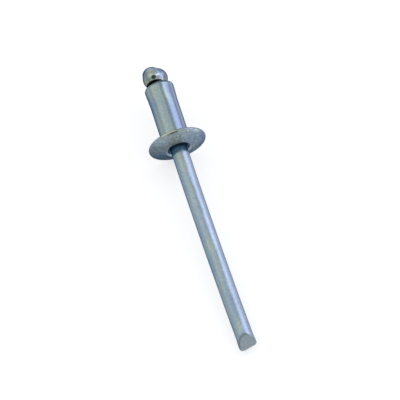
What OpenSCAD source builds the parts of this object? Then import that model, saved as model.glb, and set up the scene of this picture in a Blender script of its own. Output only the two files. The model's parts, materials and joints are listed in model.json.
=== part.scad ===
// Open-end blind rivet, 3.2 mm size: a hollow body with a domed flange, on the mandrel that sets it.
// It lies on its side as it rests on a table, on the rim of its flange and on the foot of its stem.
// Each piece is drawn on its own axis first: z = 0 is the flange's seat and +z runs to the tail.

/* [Shank] */
// Outer diameter of the shank
body_d = 3.15; // [3:0.05:3.5]
// Length of the shank, from the flange's seat to its blind end
body_length = 7.1; // [6:0.1:16]
// How far the blind end bulges past the shank, where the head was drawn against it
swell = 0.08; // [0.01:0.005:0.1]
// Length of the bulge's crest, from the blind end
crest_length = 0.5; // [0.4:0.05:1.1]
// Length over which the bulge fades into the shank, from the blind end
swell_length = 2.1; // [1.3:0.1:3]
// Round of the shoulder at the blind end
shoulder_round = 0.27; // [0.1:0.01:0.35]
// Fillet between the shank and the flange
root_fillet = 0.13; // [0.05:0.01:0.25]

/* [Flange] */
// Outer diameter of the flange
flange_d = 6.5; // [6:0.1:9.5]
// Round of the flange's rim
rim_round = 0.2; // [0.15:0.01:0.35]
// Radius of the flange's dome
dome_radius = 7.5; // [6.5:0.1:12]
// Diameter of the bore's mouth in the dome
mouth_d = 2.5; // [2.3:0.05:2.7]
// Depth of the funnel from the mouth down to the bore
mouth_depth = 0.9; // [0.4:0.05:1.5]
// Width of the dished lip round the mouth
lip_width = 0.22; // [0.1:0.02:0.4]
// How far the lip dips from the dome to the mouth
lip_drop = 0.07; // [0.02:0.01:0.15]

/* [Mandrel] */
// Diameter of the mandrel's stem
mandrel_d = 1.9; // [1.7:0.05:2]
// Length of the stem, from the flange's seat to the middle of the chisel edge
stem_length = 25.85; // [20:0.05:45]
// How much thinner than the stem the neck is that the body is crimped on, on each side
neck_cut = 0.09; // [0.05:0.01:0.2]
// Depth of the break notch below the stem
notch_cut = 0.3; // [0.15:0.01:0.4]
// How much the stem's radius shrinks from the bore's mouth to the notch, as drafted by the heading die
heading_draft = 0.02; // [0.01:0.005:0.04]
// Depth of the break notch inside the body, from the blind end
notch_depth = 1.7; // [1.5:0.1:3]

/* [Head] */
// Diameter of the ball that the head is upset to
head_d = 2.75; // [2.6:0.05:3]
// Diameter of the smaller lobe that crowns the ball
lobe_d = 1.84; // [1.5:0.02:2.2]
// How far the lobe's centre lies beyond the ball's
lobe_rise = 0.67; // [0.4:0.01:0.8]
// How far the lobe leans to one side
lobe_shift = 0.29; // [0:0.01:0.4]
// Diameter of the dent in the head, near the body
dent_d = 0.44; // [0.2:0.02:0.6]
// Depth of the dent
dent_depth = 0.14; // [0.05:0.01:0.2]
// Latitude of the dent on the ball, towards the body
dent_latitude = 12; // [0:1:25]

/* [Pinch-cut tail] */
// Angle between the axis and each facet of the chisel
facet_angle = 34; // [25:1:50]
// Thickness left along the chisel edge
edge_land = 0.1; // [0.04:0.02:0.3]
// Lean of the chisel edge along the axis
edge_skew = 8.5; // [0:0.5:15]
// How far the tail flares past the stem at each end of the edge
tail_flare = 0.07; // [0.01:0.01:0.15]
// Round of the edge's corners
corner_round = 0.46; // [0.1:0.02:0.6]
// Turn of the mandrel about its axis, from a level chisel edge
mandrel_turn = 15; // [0:1:40]

/* [Clearances] */
// Gap between the stem and the bore, all round
bore_gap = 0.05; // [0.03:0.01:0.1]
// Gap between the neck and the crimped end, all round
crimp_gap = 0.02; // [0.01:0.01:0.04]
// Gap between the ball and the edge that it seats on
seat_gap = 0.02; // [0.01:0.01:0.05]
// Length of the crimped end inside the body
crimp_length = 0.5; // [0.3:0.05:0.8]

/* [Hidden] */
$fn = 96;

zinc_body = "#9fb0bd";
zinc_mandrel = "#b0bccb";

body_r = body_d / 2;
end_r = body_r + swell;
mandrel_r = mandrel_d / 2;
root_r = mandrel_r - heading_draft; // the stem's radius beside the notch
neck_r = mandrel_r - neck_cut;
notch_r = mandrel_r - notch_cut;
bore_r = mandrel_r + bore_gap;
crimp_r = neck_r + crimp_gap;
mouth_r = mouth_d / 2;
lip_r = mouth_r + lip_width;
ball_r = head_d / 2;
lobe_r = lobe_d / 2;
dent_r = dent_d / 2;
blind_end = -body_length;
past = 1; // how far a cutting shape runs past what it cuts
cut_width = 4 * mandrel_d; // reaches right across the tail
arc_steps = 8; // straight steps in each rounded corner of an outline

// The points of an arc after its first one, which ends the stretch before it
function arc(centre, radius, from, to) = [
    for (i = [1:arc_steps])
        let (angle = from + (to - from) * i / arc_steps)
            centre + radius * [cos(angle), sin(angle)]
];

// The rim is a full round, tangent to the seat below it and to the dome above it
rim_c = flange_d / 2 - rim_round;
dome_z = rim_round - sqrt(pow(dome_radius - rim_round, 2) - pow(rim_c, 2));
rim_angle = atan2(rim_round - dome_z, rim_c);
lip_angle = acos(lip_r / dome_radius);
lip_z = dome_z + sqrt(pow(dome_radius, 2) - pow(lip_r, 2));
mouth_z = lip_z - lip_drop;

// The ball seats on the edge of the crimped end
ball_z = blind_end - sqrt(pow(ball_r + seat_gap, 2) - pow(crimp_r, 2));
crimp_top = blind_end + crimp_length;
neck_top = crimp_top + (bore_gap + crimp_gap);
notch_z = blind_end + notch_depth;
notch_half = root_r - notch_r;

// The chisel edge leans, so its corners lie at different heights
tail_r = mandrel_r + tail_flare;
tail_slope = tan(edge_skew);
corner_x = tail_r - corner_round;
corner_drop = corner_round / cos(edge_skew);
corner_tangent = corner_round * [sin(edge_skew), cos(edge_skew)];
function corner(x) = [x, -x * tail_slope - corner_drop];

// The stem's lowest line ends where the lower facet begins, and the rivet tips onto that point
foot_depth = (mandrel_r * cos(mandrel_turn) - edge_land / 2) / tan(facet_angle);
foot_shift = mandrel_r * sin(mandrel_turn) * sin(edge_skew);
foot_z = stem_length - (foot_depth - foot_shift) / cos(edge_skew);
foot_run = foot_z - rim_round;
foot_fall = rim_c - mandrel_r;
lie_tilt = atan(foot_fall / foot_run) + asin(rim_round / norm([foot_run, foot_fall]));
lie_z = rim_c * cos(lie_tilt) + rim_round * sin(lie_tilt) + rim_round;

// The whole rivet's box is centred on the origin
head_reach = -ball_z * cos(lie_tilt)
    + max(ball_r, lobe_rise * cos(lie_tilt) + lobe_r);
long_corner = corner(-corner_x);
tail_reach = (stem_length + long_corner[1]) * cos(lie_tilt)
    - corner_x * sin(mandrel_turn) * sin(lie_tilt) + corner_round;
lie_y = (tail_reach - head_reach) / 2;

module lie_down() {
    translate([0, lie_y, lie_z])
        rotate([90 + lie_tilt, 0, 0])
            children();
}

// The body's half section: bulged shank, fillet, flat seat, round rim, dome and the bore within
module body_section() {
    polygon(concat(
        [[crimp_r, blind_end], [end_r - shoulder_round, blind_end]],
        arc([end_r - shoulder_round, blind_end + shoulder_round], shoulder_round, -90, 0),
        [[end_r, blind_end + crest_length], [body_r, blind_end + swell_length]],
        [[body_r, -root_fillet]],
        arc([body_r + root_fillet, -root_fillet], root_fillet, 180, 90),
        [[rim_c, 0]],
        arc([rim_c, rim_round], rim_round, -90, 0),
        arc([rim_c, rim_round], rim_round, 0, rim_angle),
        arc([0, dome_z], dome_radius, rim_angle, lip_angle),
        [[mouth_r, mouth_z], [bore_r, mouth_z - mouth_depth]],
        [[bore_r, crimp_top + bore_r - crimp_r], [crimp_r, crimp_top]]
    ));
}

module rivet_body() {
    color(zinc_body)
        lie_down()
            rotate_extrude()
                body_section();
}

// The mandrel's half section behind its ball: neck, break notch, stem and flare
module stem_section() {
    polygon([
        [0, ball_z],
        [neck_r, ball_z],
        [neck_r, neck_top],
        [root_r, neck_top + root_r - neck_r],
        [root_r, notch_z - notch_half],
        [notch_r, notch_z],
        [root_r, notch_z + notch_half],
        [mandrel_r, mouth_z],
        [mandrel_r, foot_z],
        [tail_r, stem_length - corner_round],
        [tail_r, stem_length + past],
        [0, stem_length + past]
    ]);
}

// The ball with its off-centre crown, and the dent near the body
module head() {
    translate([0, 0, ball_z])
        difference() {
            union() {
                sphere(r = ball_r);
                translate([-lobe_shift, 0, -lobe_rise])
                    sphere(r = lobe_r);
            }
            rotate([dent_latitude, 0, 0])
                translate([0, ball_r + dent_r - dent_depth, 0])
                    sphere(r = dent_r);
        }
}

// What the jaws cut off beside one facet, seen along the chisel edge
module facet_waste() {
    run = mandrel_d / tan(facet_angle);
    rotate([0, edge_skew, 0])
        rotate([90, 0, 90])
            linear_extrude(height = cut_width, center = true)
                polygon([
                    [edge_land / 2, 0],
                    [edge_land / 2 + mandrel_d, -run],
                    [2 * mandrel_d, -run],
                    [2 * mandrel_d, run],
                    [edge_land / 2, run]
                ]);
}

// What lies past the leaning edge and its rounded corners, seen across the chisel edge
module edge_waste() {
    right = corner(corner_x);
    left = corner(-corner_x);
    outside = tail_r + past;
    top = 2 * past;
    rotate([90, 0, 0])
        linear_extrude(height = cut_width, center = true)
            polygon(concat(
                [[outside, right[1]], [tail_r, right[1]]],
                arc(right, corner_round, 0, 90 - edge_skew),
                [left + corner_tangent],
                arc(left, corner_round, 90 - edge_skew, 180),
                [[-outside, left[1]], [-outside, top]],
                [[outside, top]]
            ));
}

module mandrel() {
    color(zinc_mandrel)
        lie_down()
            rotate([0, 0, mandrel_turn]) {
                head();
                difference() {
                    rotate_extrude()
                        stem_section();
                    translate([0, 0, stem_length]) {
                        facet_waste();
                        mirror([0, 1, 0])
                            facet_waste();
                        edge_waste();
                    }
                }
            }
}

rivet_body();
mandrel();
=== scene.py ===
"""A zinc-plated blind rivet lying on a white table, in soft studio light."""
import json
import math

import bpy
import numpy as np
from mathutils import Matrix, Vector


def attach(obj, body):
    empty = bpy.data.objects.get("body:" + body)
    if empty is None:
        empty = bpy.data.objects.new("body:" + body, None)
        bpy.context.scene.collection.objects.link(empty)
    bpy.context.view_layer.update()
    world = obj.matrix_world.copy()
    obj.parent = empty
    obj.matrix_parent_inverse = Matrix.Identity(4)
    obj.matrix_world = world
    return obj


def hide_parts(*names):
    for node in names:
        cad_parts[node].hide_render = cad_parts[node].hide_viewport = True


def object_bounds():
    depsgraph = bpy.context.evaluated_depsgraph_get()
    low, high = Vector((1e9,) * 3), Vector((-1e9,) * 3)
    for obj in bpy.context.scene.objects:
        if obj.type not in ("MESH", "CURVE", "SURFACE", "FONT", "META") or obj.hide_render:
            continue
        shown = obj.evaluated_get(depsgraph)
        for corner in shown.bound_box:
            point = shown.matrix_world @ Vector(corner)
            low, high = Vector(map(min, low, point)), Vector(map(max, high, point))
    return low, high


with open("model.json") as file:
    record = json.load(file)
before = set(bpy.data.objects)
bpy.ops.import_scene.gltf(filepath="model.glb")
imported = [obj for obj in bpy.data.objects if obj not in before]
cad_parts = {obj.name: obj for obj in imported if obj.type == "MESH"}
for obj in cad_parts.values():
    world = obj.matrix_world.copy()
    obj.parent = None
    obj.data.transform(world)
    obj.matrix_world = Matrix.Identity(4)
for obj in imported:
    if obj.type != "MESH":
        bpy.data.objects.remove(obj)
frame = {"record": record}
cad_low, cad_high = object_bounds()

# A millimetre in metres, and the smallest radius that is divided by
MM = 0.001
TINY = 1e-6

# Sizes of the rivet body in mm, on its own axis: z = 0 is the flange's seat and +z runs to the tail
BODY_R = 1.575
BODY_LENGTH = 7.1
SWELL = 0.08
CREST_LENGTH = 0.5
SWELL_LENGTH = 2.1
FLANGE_R = 3.25
RIM_ROUND = 0.2
DOME_RADIUS = 7.5
MOUTH_R = 1.25
MOUTH_DEPTH = 0.9
LIP_WIDTH = 0.22
LIP_DROP = 0.07
BORE_R = 1.0
CRIMP_R = 0.88
CRIMP_LENGTH = 0.5

# Where the body's half section starts on the crimp's wall, from the blind end
OUTLINE_START = 0.2

# Rounds of the body's corners in mm
CRIMP_ROUND = 0.05
SHOULDER_ROUND = 0.25
CREST_ROUND = 12
FADE_ROUND = 18
ROOT_FILLET = 0.13
LIP_ROUND = 0.12
MOUTH_ROUND = 0.06
THROAT_ROUND = 0.5

# Sizes of the mandrel in mm, on the same axis
STEM_R = 0.95
ROOT_R = 0.93
NECK_R = 0.86
NOTCH_R = 0.65
NOTCH_DEPTH = 1.7
STEM_LENGTH = 25.85
BALL_R = 1.375
SEAT_GAP = 0.02
FACET_ANGLE = math.radians(34)
EDGE_LAND = 0.1
EDGE_SKEW = math.radians(8.5)
TAIL_LENGTH = 1.9
TAIL_FLARE = 0.07
LEFT_CORNER = 0.64
RIGHT_CORNER = 0.44
MANDREL_TURN = math.radians(15)

# Where the tail's flare starts and is full, from the end of the stem
FLARE_RUN = (-1.5, -0.3)

# Lobes, pit, a tinted spot and a painted highlight spot of the upset head, as centre from the ball's and
# half sizes, in mm
MAIN_LOBE = (-0.29, 0.11, -0.09), (1.135, 1.235, 1.235)
HEEL_LOBE = (-0.05, 0.13, 0.1), (1.0, 1.1, 0.93)
SIDE_LOBE = (0.11, -0.263, -0.14), (1.222, 1.04, 1.22)
CROWN_LOBE = (-0.32, 0.023, -0.746), (0.99, 0.9, 0.83)
PIT = (-0.05, 1.22, 0.27), (0.24, 0.2, 0.19)
GREEN_SPOT = (-0.05, 1.15, -0.25), (0.35, 0.6, 0.6)
HIGHLIGHT_SPOT = (-0.3, 0.95, -0.8), (0.6, 0.5, 0.4)

# The head's flattened underside, from the ball's centre
HEAD_BASE_R = 1.0
HEAD_BASE_Z = 0.64
HEAD_BASE_SLOPE = 0.45
HEAD_BASE_TILT = -0.03

# Widths in mm over which the mandrel's surfaces blend into each other
HEEL_BLEND = 0.12
SIDE_BLEND = 0.03
CROWN_BLEND = 0.12
BASE_BLEND = 0.08
PIT_BLEND = 0.04
FACET_BLEND = 0.05
EDGE_BLEND = 0.06

# How the rivet's line bows to the side, in mm
BOW_MIDDLE = 8.0
BOW_SPAN = 17.0
BOW_LEFT = 0.115
BOW_RANGE = 0.165
BOW_POWER = 2.2

# Unevenness: crossing waves, as direction and phase, and the length and height of them on each piece in mm
WAVES = ((1, 0, 0.7), 0), ((-0.9, 1.3, 0), 1), ((0, 1.1, 0.8), 2)
BODY_WAVES = (7, 0.008)
MANDREL_WAVES = (6, 0.006)

# Nearer to the axis than this, in mm, the mandrel's unevenness fades away
CALM_RADIUS = 0.3

# How fine the meshes are, with steps in mm
SEGMENTS = 160
BODY_STEP = 0.1
STEM_STEP = 0.15
CORNER_STEPS = 6
RIM_STEPS = 24
DOME_STEPS = 16
HEAD_RINGS = 120
TAIL_RINGS = 150
HEAD_POLE = math.radians(179.2)
TAIL_POLE = math.radians(0.6)
RAY_REACH = 4.0
RAY_HALVINGS = 40

# Derived places along the axis, in mm
BLIND_END = -BODY_LENGTH
BALL_Z = BLIND_END - math.sqrt((BALL_R + SEAT_GAP) ** 2 - CRIMP_R ** 2)
RIM_C = FLANGE_R - RIM_ROUND
DOME_Z = RIM_ROUND - math.sqrt((DOME_RADIUS - RIM_ROUND) ** 2 - RIM_C ** 2)
LIP_R = MOUTH_R + LIP_WIDTH
LIP_Z = DOME_Z + math.sqrt(DOME_RADIUS ** 2 - LIP_R ** 2)
MOUTH_Z = LIP_Z - LIP_DROP
NECK_Z = BALL_Z + HEAD_BASE_Z + (HEAD_BASE_R - NECK_R) * HEAD_BASE_SLOPE
TAIL_START = STEM_LENGTH - TAIL_LENGTH

# Regions of the body, as limits on its coordinates in mm and radians that all have to be met.
# A limit with two numbers is a ramp from 0 to 1, which falls where the second number is the lower one.
# A limit with three numbers is a band from the first to the second, with edges as soft as the third.
ON_RIM = ("radius", 2.9, 3.05), ("y", 0, 1)
DOME_SIDE = ("z", 0.1, 0.3)
ON_DOME = DOME_SIDE, ("radius", LIP_R - 0.05, LIP_R + 0.1)
BODY_REGIONS = {
    "all": (),
    "root": (("z", -0.3, 0.0, 0.25), ("radius", 1.2, 1.4), ("radius", 2.2, 1.8)),
    "rim_gold_reflection": (*ON_RIM, ("z", 0.08, 0.24, 0.06), ("x", -1.6, -0.45, 0.35)),
    "rim_line": (*ON_RIM, ("z", 0.29, 0.35, 0.05), ("x", -0.9, -0.25, 0.25)),
    "rim_light": (*ON_RIM, ("z", 0.22, 0.4, 0.05), ("x", 1.1, 2.3, 0.3)),
    "dome": ON_DOME,
    "upper_dome": (*ON_DOME, ("y", -1, 0.5)),
    "dome_side": (DOME_SIDE, ("x", 3.0, 2.0)),
    "right": (("x", -1.0, 1.5),),
    "top": (("y", 0.9, 2.2),),
    "lip": (DOME_SIDE, ("radius", MOUTH_R, LIP_R, 0.04)),
    "mouth": (("radius", MOUTH_R + 0.02, MOUTH_R - 0.05),),
    "right_edge": (("angle", 0.9, 1.6, 0.4), ("z", 0, -0.2)),
    "blind_end": (("z", BLIND_END - 0.1, BLIND_END + 0.1, 0.1), ("radius", 1.55, 1.1)),
}

# How strongly each region of the body takes each mask of the material
BODY_PAINT = {
    # Yellow at the shank's root, and a painted reflection of it on the rim's top
    "yellow": {"root": 0.3, "rim_gold_reflection": 0.62},
    "dome": {"dome": 1},
    # Painted light: the rim's highlight at its right, a lighter lip, right edge of the shank and top of the
    # dome, and a lit funnel in the mouth
    "pale": {"rim_light": 0.4, "lip": 0.25, "right_edge": 0.45, "upper_dome": 0.15, "mouth": 0.9},
    # Painted shade on the blind end beside the head, and a dark line along the rim's top
    "dark_lines_and_shade": {"blind_end": 1, "rim_line": 0.8},
    "rough": {"all": 0.21, "dome": 0.32, "mouth": 0.5},
}

# The dome's shade fades to its right and to its top, and its side is less lavender
RIGHT_DOME_LIGHT = 0.8
TOP_DOME_LIGHT = 0.95
DOME_LAVENDER_LOSS = 0.85

# Regions of the mandrel, written as the body's are
ON_HEAD = ("level", HEAD_BASE_Z + 0.1, HEAD_BASE_Z)
HEAD_RIGHT = ON_HEAD, ("x", 0.1, 0.4)
NEAR_TAIL = ("z", STEM_LENGTH - 2, STEM_LENGTH - 1.8)
ON_BURR = NEAR_TAIL, ("past_facet", -0.08, 0.02, 0.03), ("radius", STEM_R - 0.14, STEM_R - 0.04)
MANDREL_REGIONS = {
    "all": (),
    "head": (ON_HEAD,),
    "head_edge": (("level", 0.5, HEAD_BASE_Z, 0.12),),
    "head_left": (ON_HEAD, ("x", -0.2, -0.8)),
    "head_low_left": (ON_HEAD, ("x", -0.2, -1.0), ("from_ball", -0.6, 0.3)),
    "turned_left": (ON_HEAD, ("turned_x", -0.3, -0.8)),
    "turned_right": (ON_HEAD, ("turned_x", -0.05, 0.4)),
    "green_spot": (ON_HEAD, ("past_green_spot", 0.15, -0.35)),
    "highlight_spot": (("past_highlight_spot", 0.1, -0.3),),
    "pit": (("past_pit", 0.05, 0.0),),
    "gap": (("gap_level", HEAD_BASE_Z + 0.02, BLIND_END - BALL_Z + 0.3, 0.05),),
    "streak": (*HEAD_RIGHT, ("streak", 0, 1), ("past_crease", 0.03, -0.03)),
    "crease": (*HEAD_RIGHT, ("past_crease", -0.02, 0.02, 0.04)),
    "side_lobe": (*HEAD_RIGHT, ("past_crease", 0, 0.1)),
    "near_mouth": (("z", 11, 6),),
    "mouth_reflection_band": (("z", MOUTH_Z - 0.27, MOUTH_Z - 0.15), ("past_band", 0.12, 0)),
    "cut": (NEAR_TAIL, ("past_facet", -0.05, -0.01)),
    "burr": ON_BURR,
    "burr_right": (*ON_BURR, ("x", 0.2, 0.6)),
}

# How strongly each region of the mandrel takes each mask of the material; a number below 0 takes away
MANDREL_PAINT = {
    "lavender": {"turned_right": 0.85},
    "green": {"turned_left": 0.15},
    "yellow": {"head_edge": 0.3, "green_spot": 0.3, "head_low_left": 0.22},
    # Painted highlight on the head's top
    "pale": {"highlight_spot": 0.65},
    # Painted highlight: a lilac streak beside the head's crease
    "painted_highlight": {"streak": 0.92},
    "shade": {"side_lobe": 1, "head_low_left": 0.7, "head_left": 0.75},
    # Painted shade in the pit, in the gap under the head and along the crease; a darker line along the
    # facet's upper edge, weaker on its right
    "dark_lines_and_shade": {"pit": 0.85, "gap": 1, "crease": 0.3, "burr": 0.4, "burr_right": -0.36},
    # Painted reflection of the flange's dark face on the stem, past the mouth
    "blue": {"mouth_reflection_band": 1},
    "cut": {"cut": 1},
    "rough": {"all": 0.38, "head": -0.16, "side_lobe": 0.2},
}

# The share of its green that the stem keeps far from the mouth
FAR_GREEN = 0.5

# The painted shade of the gap under the head reaches further up the head at its left end
GAP_RISE = 0.12
GAP_RISE_X = (-0.7, -1.1)

# The painted highlight streak beside the crease starts further from it towards the body
STREAK_START = -0.24
STREAK_WIDENING = -0.14
STREAK_WIDENING_Z = (-0.6, 0.0)
STREAK_FULL = -0.08

# The painted dark blue reflection on the stem past the mouth ends on an uneven line that leans
BAND_LENGTH = 0.62
BAND_LEAN = 0.18
BAND_WAVES = (1.5, 0.12)

# Angles from the top, in radians, over which the flank turns lavender and the top green; these tints lie
# where the lamps' highlights fall and partly paint their hues
BODY_LAVENDER_START = (0.08, 0.4)
WIRE_LAVENDER_START = (-0.05, 0.25)
LAVENDER_END = (2.2, 1.3)
LAVENDER_STRENGTH = 0.85
WIRE_SPREAD = 0.16
WIRE_SPREAD_Z = (14, 23)
GREEN_ANGLES = (-0.45, -0.05, 0.7)

# How the tints sway along the axis, as height, rate and phase
SWAYS = (0.08, 0.9, 1), (0.05, 2.3, 0)

# Colours of the plating, and of its painted light, highlight, reflection and shade; the first three are
# stops that a noise picks from, as place and colour
TINTS = (
    (0.3, (0.23, 0.315, 0.405)),
    (0.45, (0.27, 0.35, 0.4)),
    (0.58, (0.305, 0.38, 0.37)),
    (0.72, (0.33, 0.39, 0.32)),
)
SPECKLE = ((0.3, (0.78, 0.79, 0.82)), (0.7, (1.16, 1.15, 1.12)))
MOTTLE = ((0.32, (0.74, 0.76, 0.77)), (0.68, (1.45, 1.43, 1.38)))
BODY_LAVENDER = (0.195, 0.235, 0.37, 1)
# The wire's lavender is lighter than its plating, so down its right flank it also paints a highlight
WIRE_LAVENDER = (0.405, 0.475, 0.62, 1)
# Painted light
PAINTED_LIGHT = (0.6, 0.69, 0.78, 1)
# Painted highlight of the head's streak
HIGHLIGHT_LILAC = (0.59, 0.71, 1, 1)
YELLOW = (0.6, 0.58, 0.34, 1)
BODY_SHADE = (0.89, 0.89, 0.89, 1)
WIRE_SHADE = (1, 1, 1, 1)
FACE_SHADE = (0.6, 0.61, 0.62, 1)
CUT_STEEL = (0.35, 0.415, 0.445, 1)
# Painted shade, and dark lines
DARK_LINES_AND_SHADE = (0.035, 0.045, 0.055, 1)
# Painted reflection on the stem past the mouth
MOUTH_REFLECTION_BLUE = (0.07, 0.15, 0.22, 1)
EDGE_TINT = (0.16, 0.2, 0.28, 1)

# Noises of the plating, as squeeze along each axis, scale, detail and distortion
CLOUD_NOISE = (1, 1, 0.3), 0.8, 3, 0.4
PATCH_NOISE = (1, 1, 0.3), 1.3, 2, 0.6
SPECKLE_NOISE = (1, 1, 1), 5, 3, 0
MOTTLE_NOISE = (1, 1, 1), 4.2, 3, 0.5
DRAWN_NOISE = (1, 1, 0.03), 7, 2, 0

# How far the noises and masks change the plating
CLOUD_SHIFT = -0.09
CLOUD_GREEN = 0.22
PATCH_SHIFT = -0.2
PATCH_STRENGTH = 0.6
SPECKLE_STRENGTH = 0.6
ROUGH_RANGE = 0.16
DRAWN_BUMP = 0.5
SPECKLE_BUMP = 0.25
BUMP_DEPTH = 0.02 * MM

# Sockets of Blender's colour mix node, which share their names with its other kinds of mix
MIX_AMOUNT = 0
MIX_A = 6
MIX_B = 7
MIX_RESULT = 2

# Table and world
FLOOR_COLOUR = (0.45, 0.45, 0.45, 1)
FLOOR_GLOW = 0.66
FLOOR_SIZE = 6.0
WORLD_COLOUR = (0.74, 0.76, 0.8, 1)

# Camera: angles in radians, places in metres, lens and sensor in millimetres
VIEW_AZIMUTH = math.radians(-17.31)
VIEW_ELEVATION = math.radians(58.03)
VIEW_DISTANCE = 0.35805
VIEW_LENS = 297
VIEW_SENSOR = 36
VIEW_NEAREST = 0.01
VIEW_FARTHEST = 20
VIEW_ALONG = 0.009
VIEW_RIGHT = -0.000156
VIEW_UP = 0.001362

# Lamps, as direction, width and height in degrees, radiance and colour
LAMP_DISTANCE = 0.5
LAMPS = {
    "right": ((0.655, 0.386, 0.65), 14, 50, 1.8, (0.9, 0.95, 1)),
    "left": ((-0.529, 0.37, 0.764), 48, 60, 0.42, (0.98, 1, 0.94)),
    "low_left": ((-0.868, 0.417, 0.268), 30, 60, 0.14, (1, 1, 1)),
}


def mount(name):
    """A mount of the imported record."""
    return next(m for m in frame["record"]["mounts"] if m["name"] == name)


# The rivet's own frame where it lies: origin at the flange's seat, z along the stem, y mostly up
to_tail = Vector(mount("stem")["axis"]).normalized()
stem_point = Vector(mount("stem")["pos_m"])
seat_point = Vector(mount("flange_seat")["pos_m"])
seat_centre = stem_point + (seat_point - stem_point).dot(to_tail) * to_tail
side = Vector((1, 0, 0))
upright = to_tail.cross(side)
lie = np.array((side, upright, to_tail))


def arc(centre, radius, start, end, steps):
    """Points of an arc after its first one."""
    angles = [start + (end - start) * i / steps for i in range(1, steps + 1)]
    return [(centre[0] + radius * math.cos(a), centre[1] + radius * math.sin(a)) for a in angles]


def rounded(before, corner, after, radius):
    """A corner replaced by the arc that is tangent to both of its sides."""
    here, back, ahead = Vector(corner), Vector(before), Vector(after)
    to_back, to_ahead = (back - here).normalized(), (ahead - here).normalized()
    half = to_back.angle(to_ahead) / 2
    reach = radius / math.tan(half)
    centre = here + (to_back + to_ahead).normalized() * radius / math.sin(half)
    first = (here + to_back * reach - centre).normalized()
    last = (here + to_ahead * reach - centre).normalized()
    parts = [i / CORNER_STEPS for i in range(CORNER_STEPS + 1)]
    return [tuple(centre + first.slerp(last, part) * radius) for part in parts]


def rounded_outline(corners):
    """An open outline of (r, z, round) corners; its first and last points stay as they are."""
    points = [corners[0][:2]]
    for before, corner, after in zip(corners, corners[1:], corners[2:]):
        if corner[2]:
            points += rounded(before[:2], corner[:2], after[:2], corner[2])
        else:
            points.append(corner[:2])
    return points + [corners[-1][:2]]


def stepped(points, step, closed):
    """The same outline with no stretch longer than the step."""
    out = []
    ends = points[1:] + points[:1] if closed else points[1:]
    for (r, z), (next_r, next_z) in zip(points, ends):
        count = max(1, math.ceil(math.dist((r, z), (next_r, next_z)) / step))
        out += [(r + (next_r - r) * i / count, z + (next_z - z) * i / count) for i in range(count)]
    return out if closed else out + [points[-1]]


def circle():
    """Unit vectors all round the axis."""
    angles = np.arange(SEGMENTS) * 2 * math.pi / SEGMENTS
    return np.stack([np.cos(angles), np.sin(angles), np.zeros(SEGMENTS)], 1)


def ring_faces(rings, closed):
    """Quads between rings of points, and from the last ring back to the first if closed."""
    faces = []
    for i in range(rings if closed else rings - 1):
        low, high = i * SEGMENTS, (i + 1) % rings * SEGMENTS
        for j in range(SEGMENTS):
            k = (j + 1) % SEGMENTS
            faces.append((low + j, low + k, high + k, high + j))
    return faces


def ramp(values, start, end):
    """0 at the start, 1 at the end, smooth between them and level past both."""
    t = np.clip((values - start) / (end - start), 0, 1)
    return t * t * (3 - 2 * t)


def band(values, low, high, soft):
    """1 between low and high, with soft edges."""
    return ramp(values, low - soft, low) * ramp(values, high + soft, high)


def waves(points, length, height):
    """A gentle unevenness of a few crossing waves, the same each run."""
    phases = points * 2 * math.pi / length
    return height / len(WAVES) * sum(np.sin(phases @ direction + phase) for direction, phase in WAVES)


def bow(z):
    """How far the rivet's line lies to the side: it bows to one side between head and tail."""
    away = np.abs(z - BOW_MIDDLE) / BOW_SPAN
    to_head = (1 - np.cos(math.pi * np.minimum(away, 1))) / 2
    bend = np.where(z < BOW_MIDDLE, to_head, away ** BOW_POWER)
    return BOW_RANGE * bend - BOW_LEFT


def inside(regions, coordinates):
    """How far inside each region each point lies, from 0 to 1."""
    count = len(coordinates["z"])
    depths = {}
    for region, limits in regions.items():
        depths[region] = np.ones(count)
        for coordinate, *numbers in limits:
            edge = band if len(numbers) == 3 else ramp
            depths[region] = depths[region] * edge(coordinates[coordinate], *numbers)
    return depths


def painted(recipe, depths):
    """The masks of a recipe, each a sum over its regions."""
    return {
        mask: sum(strength * depths[region] for region, strength in parts.items())
        for mask, parts in recipe.items()
    }


def tint_bands(points, start, spread=0):
    """How green the plating is, along the top, and how lavender, down the right flank: tints that lie where
    the lamps' highlights fall and so partly paint their hues.

    The lavender comes in over the start's angles, and earlier by the spread.
    """
    x, y, z = points.T
    angle = np.arctan2(x, y)
    swayed = angle - sum(height * np.sin(z * rate + phase) for height, rate, phase in SWAYS)
    lavender = LAVENDER_STRENGTH * ramp(swayed + spread, *start) * ramp(angle, *LAVENDER_END)
    return {"green": band(swayed, *GREEN_ANGLES), "lavender": lavender}


def smooth_max(a, b, blend):
    """The larger of two fields, with the crease between them rounded."""
    h = np.clip(0.5 + 0.5 * (a - b) / blend, 0, 1)
    return b + (a - b) * h + blend * h * (1 - h)


def smooth_min(a, b, blend):
    """The smaller of two fields, with the crease between them rounded."""
    return -smooth_max(-a, -b, blend)


def lobe_field(q, lobe):
    """About how far a point lies outside a rounded lobe with the given centre and half sizes."""
    centre, half_sizes = lobe
    relative = np.linalg.norm((q - np.array(centre)) / half_sizes, axis=1)
    return (relative - 1) * min(half_sizes)


def head_field(points):
    """The upset head around the ball's centre: four lobes, a flat underside and a small pit."""
    q = points - (0, 0, BALL_Z)
    shape = smooth_min(lobe_field(q, MAIN_LOBE), lobe_field(q, HEEL_LOBE), HEEL_BLEND)
    shape = smooth_min(shape, lobe_field(q, SIDE_LOBE), SIDE_BLEND)
    shape = smooth_min(shape, lobe_field(q, CROWN_LOBE), CROWN_BLEND)
    base_z = HEAD_BASE_Z + HEAD_BASE_TILT * q[:, 0]
    base = q[:, 2] - base_z + (np.hypot(q[:, 0], q[:, 1]) - HEAD_BASE_R) * HEAD_BASE_SLOPE
    shape = smooth_max(shape, base, BASE_BLEND)
    return smooth_max(shape, -lobe_field(q, PIT), PIT_BLEND)


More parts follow.
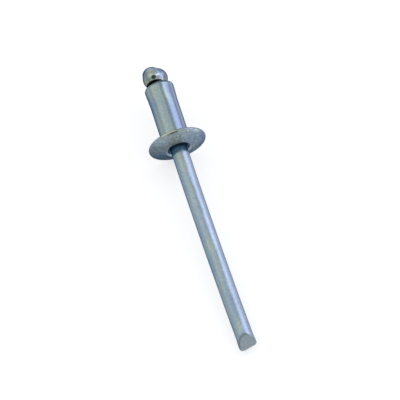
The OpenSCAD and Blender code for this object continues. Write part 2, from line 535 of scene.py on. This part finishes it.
def tail_planes(points):
    """How far points lie past the leaning edge, and past the nearer facet."""
    q = points - (0, 0, STEM_LENGTH)
    past_edge = q[:, 0] * math.sin(EDGE_SKEW) + q[:, 2] * math.cos(EDGE_SKEW)
    from_land = np.abs(q[:, 1]) - EDGE_LAND / 2
    past_facet = from_land * math.cos(FACET_ANGLE) + past_edge * math.sin(FACET_ANGLE)
    return past_edge, past_facet


def tail_field(points):
    """The pinch-cut tail: two facets, a leaning edge with round corners and a slight flare."""
    x, y, z = points.T
    radius = np.hypot(x, y)
    past_edge, past_facet = tail_planes(points)
    sideways = np.abs(x) / np.maximum(radius, TINY)
    stem = radius - STEM_R - TAIL_FLARE * ramp(z - STEM_LENGTH, *FLARE_RUN) * sideways
    corner_round = np.where(x < 0, LEFT_CORNER, RIGHT_CORNER)
    over = np.stack([np.abs(x) - STEM_R - TAIL_FLARE, past_edge], 1) + corner_round[:, None]
    end = np.maximum(past_edge, np.linalg.norm(np.maximum(over, 0), axis=1) - corner_round)
    return smooth_max(smooth_max(stem, past_facet, FACET_BLEND), end, EDGE_BLEND)


def surface(centre, directions, field):
    """Where rays from a centre leave the shape whose field is negative inside."""
    near, far = np.zeros(len(directions)), np.full(len(directions), RAY_REACH)
    for _ in range(RAY_HALVINGS):
        middle = (near + far) / 2
        within = field(centre + directions * middle[:, None]) < 0
        near, far = np.where(within, middle, near), np.where(within, far, middle)
    return centre + directions * near[:, None]


def ray_rings(z, polar_angles, field):
    """Rings of points on a shape, at polar angles from the tail's side as seen from a centre on the axis."""
    around = circle()
    axis = np.array((0, 0, 1))
    return [surface(axis * z, around * math.sin(a) + axis * math.cos(a), field) for a in polar_angles]


def level_rings(outline):
    """Rings of points round the axis, one for each point of the outline."""
    around = circle()
    return [around * radius + (0, 0, z) for radius, z in outline]


def metal_object(name, points, faces, material, paint):
    """A smooth mesh from points in mm in the rivet's own frame, with masks for its material to read."""
    mesh = bpy.data.meshes.new(name)
    bowed = points + np.outer(bow(points[:, 2]), (1, 0, 0))
    mesh.from_pydata(np.array(seat_centre) + bowed @ lie * MM, [], faces)
    place = mesh.attributes.new("rivet_mm", "FLOAT_VECTOR", "POINT")
    place.data.foreach_set("vector", points.astype(np.float32).ravel())
    for mask, values in paint.items():
        attribute = mesh.attributes.new(mask, "FLOAT", "POINT")
        attribute.data.foreach_set("value", np.clip(values, 0, 1).astype(np.float32))
    mesh.shade_smooth()
    mesh.materials.append(material)
    piece = bpy.data.objects.new(name, mesh)
    bpy.context.scene.collection.objects.link(piece)
    return piece


def body_outline():
    """The closed half section of the rivet body."""
    rim_angle = math.atan2(RIM_ROUND - DOME_Z, RIM_C)
    lip_angle = math.acos(LIP_R / DOME_RADIUS)
    end_r = BODY_R + SWELL
    crimp_top = BLIND_END + CRIMP_LENGTH
    outside = rounded_outline([
        (CRIMP_R, BLIND_END + OUTLINE_START, 0),
        (CRIMP_R, BLIND_END, CRIMP_ROUND),
        (end_r, BLIND_END, SHOULDER_ROUND),
        (end_r, BLIND_END + CREST_LENGTH, CREST_ROUND),
        (BODY_R, BLIND_END + SWELL_LENGTH, FADE_ROUND),
        (BODY_R, 0, ROOT_FILLET),
        (RIM_C, 0, 0),
    ])
    rim = arc((RIM_C, RIM_ROUND), RIM_ROUND, -math.pi / 2, rim_angle, RIM_STEPS)
    dome = arc((0, DOME_Z), DOME_RADIUS, rim_angle, lip_angle, DOME_STEPS)
    inner = rounded_outline([
        dome[-2],
        (LIP_R, LIP_Z, LIP_ROUND),
        (MOUTH_R, MOUTH_Z, MOUTH_ROUND),
        (BORE_R, MOUTH_Z - MOUTH_DEPTH, THROAT_ROUND),
        (BORE_R, crimp_top + BORE_R - CRIMP_R, 0),
        (CRIMP_R, crimp_top, 0),
    ])
    return outside + rim + dome[:-1] + inner[1:]


def make_body(material):
    """The rivet body: one ring of points for each point of its closed half section."""
    rings = level_rings(stepped(body_outline(), BODY_STEP, closed=True))
    points = np.concatenate(rings)
    outward = np.tile(circle(), (len(rings), 1))
    points += outward * waves(points, *BODY_WAVES)[:, None]
    x, y, z = points.T
    coordinates = {"x": x, "y": y, "z": z, "radius": np.hypot(x, y), "angle": np.arctan2(x, y)}
    depths = inside(BODY_REGIONS, coordinates)
    paint = painted(BODY_PAINT, depths) | tint_bands(points, BODY_LAVENDER_START)
    paint["lavender"] *= 1 - DOME_LAVENDER_LOSS * depths["dome_side"]
    right_light = 1 - RIGHT_DOME_LIGHT * depths["right"]
    top_light = 1 - TOP_DOME_LIGHT * depths["top"]
    paint["shade"] = depths["dome"] * right_light * top_light
    faces = ring_faces(len(rings), closed=True)
    return metal_object("rivet_body_metal", points, faces, material, paint)


def stem_outline():
    """The mandrel's half section between its head and its tail: neck, break notch and stem."""
    notch_z = BLIND_END + NOTCH_DEPTH
    notch_half = ROOT_R - NOTCH_R
    neck_top = BLIND_END + CRIMP_LENGTH + (BORE_R - STEM_R) + (CRIMP_R - NECK_R)
    return [
        (NECK_R, NECK_Z),
        (NECK_R, neck_top),
        (ROOT_R, neck_top + ROOT_R - NECK_R),
        (ROOT_R, notch_z - notch_half),
        (NOTCH_R, notch_z),
        (ROOT_R, notch_z + notch_half),
        (STEM_R, MOUTH_Z),
        (STEM_R, TAIL_START),
    ]


def mandrel_rings():
    """Rings of points: rays from the ball's centre, then rings along the stem, then rays into the tail."""
    neck_polar = math.atan2(NECK_R, NECK_Z - BALL_Z)
    head = ray_rings(BALL_Z, np.linspace(HEAD_POLE, neck_polar, HEAD_RINGS)[:-1], head_field)
    stem = level_rings(stepped(stem_outline(), STEM_STEP, closed=False))
    tail = ray_rings(TAIL_START, np.linspace(math.pi / 2, TAIL_POLE, TAIL_RINGS)[1:], tail_field)
    return head + stem + tail


def mandrel_coordinates(points, turned):
    """What the mandrel's regions are limited by, from its points before and after its turn."""
    x, y, z = points.T
    q = points - (0, 0, BALL_Z)
    level = q[:, 2] - HEAD_BASE_TILT * x
    front = np.min([lobe_field(q, lobe) for lobe in (MAIN_LOBE, HEEL_LOBE, CROWN_LOBE)], axis=0)
    past_crease = front - lobe_field(q, SIDE_LOBE)
    streak_start = STREAK_START + STREAK_WIDENING * ramp(q[:, 2], *STREAK_WIDENING_Z)
    band_end = MOUTH_Z + BAND_LENGTH + BAND_LEAN * y + waves(points, *BAND_WAVES)
    return {
        "x": x,
        "z": z,
        "radius": np.hypot(x, y),
        "turned_x": turned[:, 0],
        "from_ball": q[:, 2],
        "level": level,
        "gap_level": level + GAP_RISE * ramp(x, *GAP_RISE_X),
        "past_green_spot": lobe_field(q, GREEN_SPOT),
        "past_highlight_spot": lobe_field(q, HIGHLIGHT_SPOT),
        "past_pit": lobe_field(q, PIT),
        "past_crease": past_crease,
        "streak": (past_crease - streak_start) / (STREAK_FULL - streak_start),
        "past_band": z - band_end,
        "past_facet": tail_planes(points)[1],
    }


def make_mandrel(material):
    """The mandrel, drawn with its chisel edge level and then turned about its axis."""
    rings = mandrel_rings()
    points = np.concatenate(rings)
    c, s = math.cos(MANDREL_TURN), math.sin(MANDREL_TURN)
    turned = points @ np.array(((c, s, 0), (-s, c, 0), (0, 0, 1)))
    depths = inside(MANDREL_REGIONS, mandrel_coordinates(points, turned))
    paint = painted(MANDREL_PAINT, depths)
    spread = WIRE_SPREAD * ramp(turned[:, 2], *WIRE_SPREAD_Z)
    tints = tint_bands(turned, WIRE_LAVENDER_START, spread)
    paint["lavender"] += tints["lavender"] * (1 - depths["head"])
    paint["green"] += tints["green"] * (FAR_GREEN + (1 - FAR_GREEN) * depths["near_mouth"])
    radius = np.hypot(turned[:, 0], turned[:, 1])
    outward = turned * (1, 1, 0) / np.maximum(radius, CALM_RADIUS)[:, None]
    turned += outward * waves(turned, *MANDREL_WAVES)[:, None]
    faces = ring_faces(len(rings), closed=False)
    last = (len(rings) - 1) * SEGMENTS
    faces.append(tuple(reversed(range(SEGMENTS))))
    faces.append(tuple(range(last, last + SEGMENTS)))
    return metal_object("mandrel_metal", turned, faces, material, paint)


def node_of(tree, kind, **settings):
    """A new node with its settings."""
    node = tree.nodes.new(kind)
    for name, value in settings.items():
        setattr(node, name, value)
    return node


def feed(tree, socket, value):
    """Links an output to a socket, or sets a plain value on it."""
    if isinstance(value, bpy.types.NodeSocket):
        tree.links.new(value, socket)
    else:
        socket.default_value = value


def maths(tree, operation, *values, clamp=False):
    """The result of a sum on outputs and plain values."""
    node = node_of(tree, "ShaderNodeMath", operation=operation, use_clamp=clamp)
    for socket, value in zip(node.inputs, values):
        feed(tree, socket, value)
    return node.outputs[0]


def mixed(tree, amount, a, b, blend="MIX"):
    """The colour a, with b mixed in by the amount."""
    node = node_of(tree, "ShaderNodeMix", data_type="RGBA", blend_type=blend)
    for socket, value in ((MIX_AMOUNT, amount), (MIX_A, a), (MIX_B, b)):
        feed(tree, node.inputs[socket], value)
    return node.outputs[MIX_RESULT]


def colour_ramp(tree, value, stops):
    """The colour that a value from 0 to 1 has among the stops."""
    node = tree.nodes.new("ShaderNodeValToRGB")
    elements = node.color_ramp.elements
    while len(elements) < len(stops):
        elements.new(0.5)
    for element, (place, colour) in zip(elements, stops):
        element.position = place
        element.color = (*colour, 1)
    tree.links.new(value, node.inputs["Fac"])
    return node.outputs["Color"]


def noise(tree, coords, squeeze, scale, detail, distortion):
    """Noise over the rivet's own mm, drawn out along the axes that have a small squeeze."""
    mapping = tree.nodes.new("ShaderNodeMapping")
    mapping.inputs["Scale"].default_value = squeeze
    tree.links.new(coords, mapping.inputs["Vector"])
    node = tree.nodes.new("ShaderNodeTexNoise")
    node.inputs["Scale"].default_value = scale
    node.inputs["Detail"].default_value = detail
    node.inputs["Distortion"].default_value = distortion
    tree.links.new(mapping.outputs[0], node.inputs["Vector"])
    return node.outputs["Fac"]


def mask(tree, name):
    """A mask of the mesh, which is 0 all over a mesh that doesn't have it."""
    return node_of(tree, "ShaderNodeAttribute", attribute_name=name).outputs["Fac"]


def zinc_material(name, flank, shade, drawn):
    """Zinc with a blue passivation: patchy tints, fine speckle, drawing lines if it is wire, and painted
    light, highlights, reflection and shade from the mesh's masks.
    """
    material = bpy.data.materials.new(name)
    material.use_nodes = True
    tree = material.node_tree
    shader = tree.nodes["Principled BSDF"]
    coords = node_of(tree, "ShaderNodeAttribute", attribute_name="rivet_mm").outputs["Vector"]
    cloud = maths(tree, "ADD", noise(tree, coords, *CLOUD_NOISE), CLOUD_SHIFT)
    cloud = maths(tree, "MULTIPLY_ADD", mask(tree, "green"), CLOUD_GREEN, cloud)
    colour = mixed(tree, 1, colour_ramp(tree, cloud, TINTS), shade, "MULTIPLY")
    patch = noise(tree, coords, *PATCH_NOISE)
    lavender = maths(tree, "MULTIPLY_ADD", patch, PATCH_STRENGTH, PATCH_SHIFT)
    lavender = maths(tree, "ADD", lavender, mask(tree, "lavender"), clamp=True)
    colour = mixed(tree, lavender, colour, flank)
    # Painted light, and the painted highlight streak
    colour = mixed(tree, mask(tree, "pale"), colour, PAINTED_LIGHT)
    colour = mixed(tree, mask(tree, "painted_highlight"), colour, HIGHLIGHT_LILAC)
    colour = mixed(tree, mask(tree, "cut"), colour, CUT_STEEL)
    speckle = noise(tree, coords, *SPECKLE_NOISE)
    colour = mixed(tree, SPECKLE_STRENGTH, colour, colour_ramp(tree, speckle, SPECKLE), "MULTIPLY")
    colour = mixed(tree, mask(tree, "yellow"), colour, YELLOW)
    mottle = colour_ramp(tree, noise(tree, coords, *MOTTLE_NOISE), MOTTLE)
    colour = mixed(tree, mask(tree, "dome"), colour, mottle, "MULTIPLY")
    colour = mixed(tree, mask(tree, "shade"), colour, FACE_SHADE, "MULTIPLY")
    # Painted reflection on the stem, then painted shade and dark lines
    colour = mixed(tree, mask(tree, "blue"), colour, MOUTH_REFLECTION_BLUE)
    colour = mixed(tree, mask(tree, "dark_lines_and_shade"), colour, DARK_LINES_AND_SHADE)
    tree.links.new(colour, shader.inputs["Base Color"])
    relief = noise(tree, coords, *DRAWN_NOISE) if drawn else speckle
    smoothest = maths(tree, "ADD", mask(tree, "rough"), -ROUGH_RANGE / 2)
    rough = maths(tree, "MULTIPLY_ADD", relief, ROUGH_RANGE, smoothest)
    tree.links.new(rough, shader.inputs["Roughness"])
    bump = tree.nodes.new("ShaderNodeBump")
    bump.inputs["Strength"].default_value = DRAWN_BUMP if drawn else SPECKLE_BUMP
    bump.inputs["Distance"].default_value = BUMP_DEPTH
    tree.links.new(relief, bump.inputs["Height"])
    tree.links.new(bump.outputs["Normal"], shader.inputs["Normal"])
    shader.inputs["Metallic"].default_value = 1
    shader.inputs["Specular Tint"].default_value = EDGE_TINT
    return material


def floor_material():
    """White for the camera and in the metal, with the rivet's soft shadow kept."""
    material = bpy.data.materials.new("white_table")
    material.use_nodes = True
    tree = material.node_tree
    tree.nodes.clear()
    out = tree.nodes.new("ShaderNodeOutputMaterial")
    diffuse = tree.nodes.new("ShaderNodeBsdfDiffuse")
    diffuse.inputs["Color"].default_value = FLOOR_COLOUR
    glow = tree.nodes.new("ShaderNodeEmission")
    path = tree.nodes.new("ShaderNodeLightPath").outputs
    seen = maths(tree, "MAXIMUM", path["Is Camera Ray"], path["Is Glossy Ray"])
    seen = maths(tree, "MAXIMUM", seen, path["Is Transmission Ray"])
    tree.links.new(maths(tree, "MULTIPLY", seen, FLOOR_GLOW), glow.inputs["Strength"])
    total = tree.nodes.new("ShaderNodeAddShader")
    tree.links.new(diffuse.outputs[0], total.inputs[0])
    tree.links.new(glow.outputs[0], total.inputs[1])
    tree.links.new(total.outputs[0], out.inputs["Surface"])
    return material


def make_floor():
    """The table that the rivet lies on."""
    bpy.ops.mesh.primitive_plane_add(size=FLOOR_SIZE, location=(0, 0, cad_low.z))
    floor = bpy.context.object
    floor.name = "table"
    floor.data.materials.append(floor_material())


def make_camera():
    """A camera that looks at the rivet from the photograph's side."""
    level = Vector((math.sin(VIEW_AZIMUTH), -math.cos(VIEW_AZIMUTH), 0))
    back = level * math.cos(VIEW_ELEVATION) + Vector((0, 0, math.sin(VIEW_ELEVATION)))
    right = Vector((math.cos(VIEW_AZIMUTH), math.sin(VIEW_AZIMUTH), 0))
    up = back.cross(right)
    target = seat_centre + VIEW_ALONG * to_tail + VIEW_RIGHT * right + VIEW_UP * up
    data = bpy.data.cameras.new("camera")
    data.lens = VIEW_LENS
    data.sensor_width = VIEW_SENSOR
    data.clip_start = VIEW_NEAREST
    data.clip_end = VIEW_FARTHEST
    camera = bpy.data.objects.new("camera", data)
    camera.location = target + back * VIEW_DISTANCE
    camera.rotation_mode = "QUATERNION"
    camera.rotation_quaternion = back.to_track_quat("Z", "Y")
    bpy.context.scene.collection.objects.link(camera)
    bpy.context.scene.camera = camera


def make_softbox(name, toward, width, height, radiance, colour):
    """A rectangular lamp that faces the rivet; width and height are the angles that it spans, in degrees."""
    data = bpy.data.lights.new(name, "AREA")
    data.shape = "RECTANGLE"
    data.size = 2 * LAMP_DISTANCE * math.tan(math.radians(width / 2))
    data.size_y = 2 * LAMP_DISTANCE * math.tan(math.radians(height / 2))
    data.energy = radiance * math.pi * data.size * data.size_y
    data.color = colour
    lamp = bpy.data.objects.new(name, data)
    direction = Vector(toward).normalized()
    lamp.location = direction * LAMP_DISTANCE
    lamp.rotation_mode = "QUATERNION"
    lamp.rotation_quaternion = direction.to_track_quat("Z", "Y")
    bpy.context.scene.collection.objects.link(lamp)


def make_lights():
    """A pale world and the softboxes, at a plain level."""
    world = bpy.data.worlds.new("studio")
    world.use_nodes = True
    background = world.node_tree.nodes["Background"]
    background.inputs["Color"].default_value = WORLD_COLOUR
    background.inputs["Strength"].default_value = 1
    bpy.context.scene.world = world
    for name, settings in LAMPS.items():
        make_softbox(name, *settings)


body = make_body(zinc_material("zinc_body", BODY_LAVENDER, BODY_SHADE, drawn=False))
mandrel = make_mandrel(zinc_material("zinc_mandrel", WIRE_LAVENDER, WIRE_SHADE, drawn=True))
for piece, node, material_slot in ((body, "rivet_body", "body_zinc"), (mandrel, "mandrel", "mandrel_zinc")):
    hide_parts(node)
    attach(piece, "root")

make_floor()
make_camera()
make_lights()
bpy.context.scene.view_settings.view_transform = "Standard"
